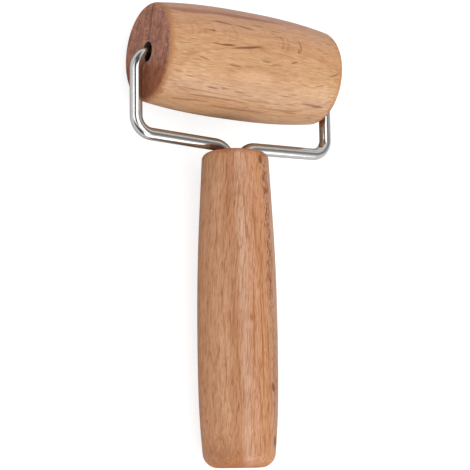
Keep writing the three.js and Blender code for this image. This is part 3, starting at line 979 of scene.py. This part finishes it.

# %% [markdown]
# ## The handle's own board
# The handle's board is redder, and long dark lines follow most of the grip. They are fibres that weave in
# and out of the surface, so one noise breaks every line into strokes of uneven darkness. Its bands on the
# left of the grip are made lighter as painted light, and the rosy band just right of the middle is a
# painted highlight.

# %% Handle beech: board and lines
LINE_COLOR = (0.34, 0.115, 0.02, 1)
# the board's colour bands; the light bands on the left are painted light, the rosy band at 3 mm a painted
# highlight
handle_bands_and_painted_light = [
    (-16, (0.89, 0.45, 0.25)), (-8, (0.765, 0.41, 0.232)), (-1, (0.57, 0.27, 0.133)),
    (3, (0.66, 0.385, 0.25)), (7, (0.615, 0.31, 0.176)), (11, (0.60, 0.295, 0.143)),
    (16, (0.53, 0.29, 0.175)),
]
handle_wood = {
    "Ring Width": 2.8, "End": (0.33, 0.14, 0.08, 1), "Ray Strength": 0.6, "Line Strength": 0.6,
    "Lines Per Millimetre": (1.3, 0.9, 0.07), "Woven Per Millimetre": (0.85, 0.75, 0.05),
    "Woven Strength": 0.78, "Weave": 0.8, "Seed": 47.0,
}
handle_lines = [
    (4.8, -42.0, 0.45, 20.0, 0.01, 0, 0.6), (8.8, -36.0, 0.45, 22.0, 0.01, 0, 0.55),
    (0.9, -24.0, 0.4, 10.0, 0, 0, 0.5), (7.0, 10.0, 0.5, 34.0, -0.008, 0, 0.65),
    (10.2, 18.0, 0.5, 36.0, 0, 0, 0.75), (11.3, -20.0, 0.4, 10.0, 0, 0, 0.45),
    (12.7, 16.0, 0.45, 11.0, 0, 0, 0.8), (-5.5, 26.0, 0.5, 9.0, 0, 0, 0.65),
    (-2.1, 5.0, 0.45, 17.0, -0.12, 0, 0.45), (0.2, 37.0, 0.45, 17.0, 0.03, 0, 0.45),
    (7.9, 57.0, 0.45, 8.0, 0, 0, 0.55), (-7.7, -36.0, 0.45, 9.0, 0, 0, 0.45),
    (8.6, 40.0, 0.4, 18.0, 0.02, 0, 0.6), (13.2, 38.0, 0.4, 10.0, 0.02, 0, 0.65),
    (11.8, 50.0, 0.45, 14.0, 0, 0, 0.6), (5.2, 50.0, 0.4, 14.0, 0.01, 0, 0.45),
]
handle_axis = HELD_PLACE.to_3x3() @ Vector((0, -1, 0))
handle_middle = HELD_PLACE @ Vector((0, -NECK_REACH - HANDLE_LENGTH / 2, 0))

wood = start_wood(
    "Handle beech", handle_middle, grain_axis=handle_axis, from_pith=Vector((-0.5, 0, 1)),
    board=Vector((0.849, 0, 0.529)), lean=0.07, end={"Half Length": HANDLE_LENGTH / 2 / MM, "Reach": 3.6},
    bands=handle_bands_and_painted_light, ray_share=(0.55, 0.34, 0.13), wood=handle_wood,
)
tree, place, across, along, face = (wood[part] for part in ("tree", "place", "across", "along", "face"))
line_breaks = between(tree, noise(tree, place, (0.8, 0.8, 0.13), 3.0, 0.6), 0.35, 0.55, 0.35, 1.0)
color = add_marks(wood, wood["made"]["Color"], LINE_COLOR, handle_lines, line_breaks)
print("handle beech:", len(handle_bands_and_painted_light), "bands and", len(handle_lines), "lines")

# %% [markdown]
# On the right side the lathe cut across a sheet of broad rays, and it shows as one narrow row of dark
# flecks that fades towards the butt. A few of them are true pin knots, close to the neck and near the butt.

# %% Handle beech: row of flecks
ROW_MIDDLE, ROW_SLOPE, ROW_SWAY, ROW_EDGE = 13.6, 0.012, 2.4, (1.7, 0.5)
ROW_COLOR, KNOT_COLOR = (0.26, 0.065, 0.012, 1), (0.18, 0.052, 0.019, 1)
row_knots = [
    (12.3, -64, 1.0, 2.6, 0.05, 0, 0.9), (13.2, -56, 0.7, 2.0, -0.1, 0, 0.8),
    (13.4, -51, 0.6, 1.8, 0.05, 0, 0.55), (14.2, 35, 0.8, 2.6, 0.05, 0, 0.9),
    (14.3, 42, 0.5, 1.8, 0, 0, 0.5), (14.1, 58, 0.85, 3.2, 0.06, 0, 0.9),
]

row_sway = times(tree, noise(tree, place, (0.1, 0.1, 0.16), 3.0), ROW_SWAY)
row_middle = plus(tree, times(tree, along, ROW_SLOPE), plus(tree, row_sway, ROW_MIDDLE))
from_row = calc(tree, "ABSOLUTE", minus(tree, across, row_middle))
row_blots = noise(tree, place, (1.3, 1.3, 0.42), 3.0, 0.6)
row_share = times(tree, between(tree, from_row, *ROW_EDGE), between(tree, row_blots, 0.49, 0.56))
row_fade = between(tree, along, -15.0, 8.0, 1.0, 0.55)
color = blended(tree, times(tree, row_share, row_fade), color, ROW_COLOR)
color = add_marks(wood, color, KNOT_COLOR, row_knots)
print("row:", len(row_knots), "knots")

# %% [markdown]
# The last centimetre before the butt is stained by oil that the open end drank, in a cloud on the left of
# the board. Two faint brown streaks finish the grip.

# %% Handle beech: stain at the butt
STAIN_COLOR, STAIN_MIDDLE = (0.42, 0.15, 0.055, 1), -6.0
STREAK_COLOR = (0.45, 0.16, 0.065, 1)
streaks = [(-1.5, 8, 1.0, 8, 0.05, 0, 0.35), (1.5, 40, 0.8, 9, 0, 0, 0.25)]

stain_beside = calc(tree, "ABSOLUTE", plus(tree, across, -STAIN_MIDDLE))
stain_cloud = noise(tree, place, (0.25, 0.25, 0.12), 3.0)
stain = times(tree, between(tree, stain_beside, 13.0, 3.0), between(tree, along, 54.0, 66.0))
stain = times(tree, stain, between(tree, stain_cloud, 0.3, 0.62, 0.25, 0.75))
stain = times(tree, stain, minus(tree, 1.0, face))
color = blended(tree, stain, color, STAIN_COLOR)
color = add_marks(wood, color, STREAK_COLOR, streaks)
finish_wood(wood, color, handle)
print("handle beech:", len(tree.nodes), "nodes")

# %% [markdown]
# ## Polished stainless wire
# Drawn and polished wire mirrors the room softly. A perfect mirror looks like chrome on a screen, so the
# roughness varies with faint smears, and very fine pits ruffle the surface.

# %% Steel
CLEAN_STEEL, SMEARED_STEEL = (0.55, 0.54, 0.535, 1), (0.49, 0.48, 0.475, 1)

wire_steel, tree, shader = new_material("Polished stainless wire")
shader.inputs["Metallic"].default_value = 1.0
in_mm = in_millimetres(tree, AXLE_CENTRE)
smears = noise(tree, in_mm, 0.35, 4.0, 0.6, 0.6)
pits = noise(tree, in_mm, 6.0, 3.0, 0.6)
tone = blended(tree, between(tree, smears, 0.3, 0.7), CLEAN_STEEL, SMEARED_STEEL)
tree.links.new(tone, shader.inputs["Base Color"])
gloss = plus(tree, between(tree, smears, 0.25, 0.75, 0.07, 0.13), times(tree, pits, 0.04))
tree.links.new(gloss, shader.inputs["Roughness"])
ruffle = add(tree, "ShaderNodeBump", {"Strength": 0.12, "Distance": 0.02 * MM, "Height": pits})
tree.links.new(ruffle.outputs[0], shader.inputs["Normal"])
wire.data.materials.append(wire_steel)
print("steel:", wire_steel.name)

# %% [markdown]
# ## Set resin
# Epoxy sets to a cloudy amber with small bubbles in it. It only shows at the bottom of the countersink, so
# its colour and its bubbles are enough, without light that passes through it.

# %% Resin
DARK_AMBER, PALE_AMBER, BUBBLE_COLOR = (0.42, 0.25, 0.09, 1), (0.56, 0.37, 0.15, 1), (0.72, 0.58, 0.34, 1)
bubble_size = {"Per Millimetre": (1.2, 1.2, 1.2), "Size": 0.35, "Share": 0.4, "Seed": 3.0}

socket_resin, tree, shader = new_material("Set resin")
in_mm = in_millimetres(tree, AXLE_CENTRE)
cloud = noise(tree, in_mm, 0.5, 4.0, 0.6)
bubbles = use_group(tree, flecks, {"Growth": in_mm, **bubble_size})["Mask"]
amber = blended(tree, between(tree, cloud, 0.3, 0.7), DARK_AMBER, PALE_AMBER)
bubbly = blended(tree, times(tree, bubbles, 0.5), amber, BUBBLE_COLOR)
tree.links.new(bubbly, shader.inputs["Base Color"])
tree.links.new(between(tree, cloud, 0.3, 0.7, 0.2, 0.34), shader.inputs["Roughness"])
dimple = add(tree, "ShaderNodeBump", {"Strength": 0.3, "Distance": 0.05 * MM, "Height": bubbles})
tree.links.new(dimple.outputs[0], shader.inputs["Normal"])
resin.data.materials.append(socket_resin)
print("resin:", socket_resin.name)

# %% [markdown]
# ## Floor, light and camera
# The tool lies on a white sweep. The world is white where the camera and mirrors look, and gives plain soft
# light otherwise. One large soft light hangs overhead and a second stands in front.

# %% World
WHITE = (1, 1, 1, 1)
SOFT_SKY, WHITE_SKY = 0.51, 1.0

world = bpy.data.worlds.new("White studio")
bpy.context.scene.world = world
world.use_nodes = True
tree = world.node_tree
tree.nodes.clear()
ray = add(tree, "ShaderNodeLightPath").outputs
seen = larger(tree, ray["Is Camera Ray"], larger(tree, ray["Is Glossy Ray"], ray["Is Transmission Ray"]))
soft = add(tree, "ShaderNodeBackground", {"Color": WHITE, "Strength": SOFT_SKY})
white = add(tree, "ShaderNodeBackground", {"Color": WHITE, "Strength": WHITE_SKY})
either = add(tree, "ShaderNodeMixShader", {0: seen, 1: soft.outputs[0], 2: white.outputs[0]})
add(tree, "ShaderNodeOutputWorld", {"Surface": either.outputs[0]})
print("world:", world.name)

# %% [markdown]
# The floor adds its own white to what the camera sees, so that it reads as paper and keeps a soft shadow
# under the tool. Mirrors see less of that white close to the tool, where the sky over the floor is covered,
# and this gives the wire its darker underside.

# %% Floor
FLOOR_REACH, FLOOR_GAP = 3.0, 0.02 * MM
PAPER_GREY, PAPER_ROUGHNESS = (0.4, 0.4, 0.4, 1), 0.9
SHADE_REACH, SHADE_POWER, MIRRORED_WHITE, OWN_WHITE = 0.05, 3.0, 0.74, 0.8


def staged(mesh, name, material):
    """A flat sheet that belongs to the studio and not to the tool."""
    data = bpy.data.meshes.new(name)
    mesh.to_mesh(data)
    mesh.free()
    data.materials.append(material)
    sheet = bpy.data.objects.new(name, data)
    bpy.context.scene.collection.objects.link(sheet)
    return sheet


paper, tree, shader = new_material("White paper")
shader.inputs["Base Color"].default_value = PAPER_GREY
shader.inputs["Roughness"].default_value = PAPER_ROUGHNESS
shader.inputs["Specular IOR Level"].default_value = 0.0
ray = add(tree, "ShaderNodeLightPath").outputs
open_sky = add(tree, "ShaderNodeAmbientOcclusion", {"Distance": SHADE_REACH}, samples=8).outputs["AO"]
mirrored = larger(tree, ray["Is Glossy Ray"], ray["Is Transmission Ray"])
in_mirrors = times(tree, mirrored, times(tree, calc(tree, "POWER", open_sky, SHADE_POWER), MIRRORED_WHITE))
seen = larger(tree, ray["Is Camera Ray"], in_mirrors)
own_white = add(tree, "ShaderNodeEmission", {"Color": WHITE, "Strength": times(tree, seen, OWN_WHITE)})
total = add(tree, "ShaderNodeAddShader", {0: shader.outputs[0], 1: own_white.outputs[0]})
tree.links.new(total.outputs[0], tree.nodes["Material Output"].inputs["Surface"])

floor_mesh = bmesh.new()
under_tool = Matrix.Translation((0, 0, -FLOOR_GAP))
bmesh.ops.create_grid(floor_mesh, x_segments=2, y_segments=2, size=FLOOR_REACH, matrix=under_tool)
floor = staged(floor_mesh, "white_sweep", paper)
print("floor:", floor.name)

# %% Soft lights
def soft_light(name, place, size, power):
    """A rectangular light that is aimed at the tool."""
    data = bpy.data.lights.new(name, "AREA")
    data.shape = "RECTANGLE"
    data.size, data.size_y = size
    data.energy = power
    lamp = bpy.data.objects.new(name, data)
    lamp.location = place
    lamp.rotation_euler = (-Vector(place)).to_track_quat("-Z", "Y").to_euler()
    bpy.context.scene.collection.objects.link(lamp)
    print("light:", name, power, "W")


soft_light("Overhead softbox", (-0.05, -0.1, 1.4), (1.5, 1.5), 10.8)
soft_light("Front softbox", (0.35, -1.3, 0.68), (1.4, 0.85), 8.4)

# %% [markdown]
# Polished metal only looks like metal when it has something darker to mirror, and a photographer hangs grey
# cards for that. These hang level above the tool: to its right, in front, behind and to its left. The two
# far on the left are brighter than white and give the wire its highlights. Only mirror rays see the cards,
# so they throw no shadow and don't change the light on the wood.

# %% Cards
CARD_HEIGHT = 0.55
cards = {
    "card_right": ((0.08, -0.13), (0.33, 0.2), 0.28),
    "card_far_right": ((0.33, -0.13), (1.5, 0.2), 0.36),
    "card_front": ((0.13, -0.26), (1.5, -0.13), 0.5),
    "card_back": ((0.1, 0.2), (0.5, 0.9), 0.92),
    "card_back_right": ((0.5, 0.2), (2.5, 0.9), 0.55),
    "card_behind": ((-0.15, 0.27), (-0.02, 0.45), 0.12),
    "card_back_left": ((-0.8, 0.3), (-0.15, 1.0), 0.14),
    "card_far_back_left": ((-3.2, 1.0), (-0.3, 4.0), 0.22),
    "card_left": ((-0.6, -0.2), (-0.3, 0.3), 0.14),
    "card_front_left": ((-14.0, -16.0), (-0.27, -0.5), 0.12),
    "card_far_left": ((-3.2, -0.5), (-0.8, 1.0), 1.9),
    "card_farther_left": ((-8.0, -0.5), (-3.2, 2.5), 1.9),
}

for name, (low, high, brightness) in cards.items():
    card_mesh = bmesh.new()
    centre = ((low[0] + high[0]) / 2, (low[1] + high[1]) / 2, CARD_HEIGHT)
    size = Matrix.Diagonal(((high[0] - low[0]) / 2, (high[1] - low[1]) / 2, 1, 1))
    lie = Matrix.Translation(centre) @ size
    bmesh.ops.create_grid(card_mesh, x_segments=1, y_segments=1, size=1, matrix=lie)
    grey, tree, shader = new_material(name)
    tree.nodes.remove(shader)
    dull = add(tree, "ShaderNodeEmission", {"Color": (brightness, brightness, brightness, 1)})
    tree.links.new(dull.outputs[0], tree.nodes["Material Output"].inputs["Surface"])
    card = staged(card_mesh, name, grey)
    card.visible_camera = card.visible_diffuse = card.visible_shadow = card.visible_transmission = False
print("cards:", len(cards))

# %% [markdown]
# The camera stands where the photograph was taken from: high above the left of the handle, looking down at
# 56 degrees. A lens of just over 100 mm gives the gentle perspective of a product picture.

# %% Camera
CAMERA_PLACE = (-0.3070629, -0.1139326, 0.5115851)
CAMERA_RIGHT = Vector((0.8516632, -0.0346785, 0.5229409))
CAMERA_UP = Vector((-0.0721887, 0.9805353, 0.1825904))
CAMERA_BACK = Vector((-0.5190940, -0.1932560, 0.8325825))

camera_data = bpy.data.cameras.new("Product camera")
camera_data.sensor_width = 36
camera_data.lens = 102.75
camera_data.clip_start = 0.01
camera = bpy.data.objects.new("Product camera", camera_data)
camera_turn = Matrix((CAMERA_RIGHT, CAMERA_UP, CAMERA_BACK)).transposed().to_4x4()
camera.matrix_world = Matrix.Translation(CAMERA_PLACE) @ camera_turn
bpy.context.scene.collection.objects.link(camera)
bpy.context.scene.camera = camera
bpy.context.scene.view_settings.view_transform = "Standard"
print("camera distance (mm):", round((camera.location - ROLLER_CENTRE).length / MM, 1))
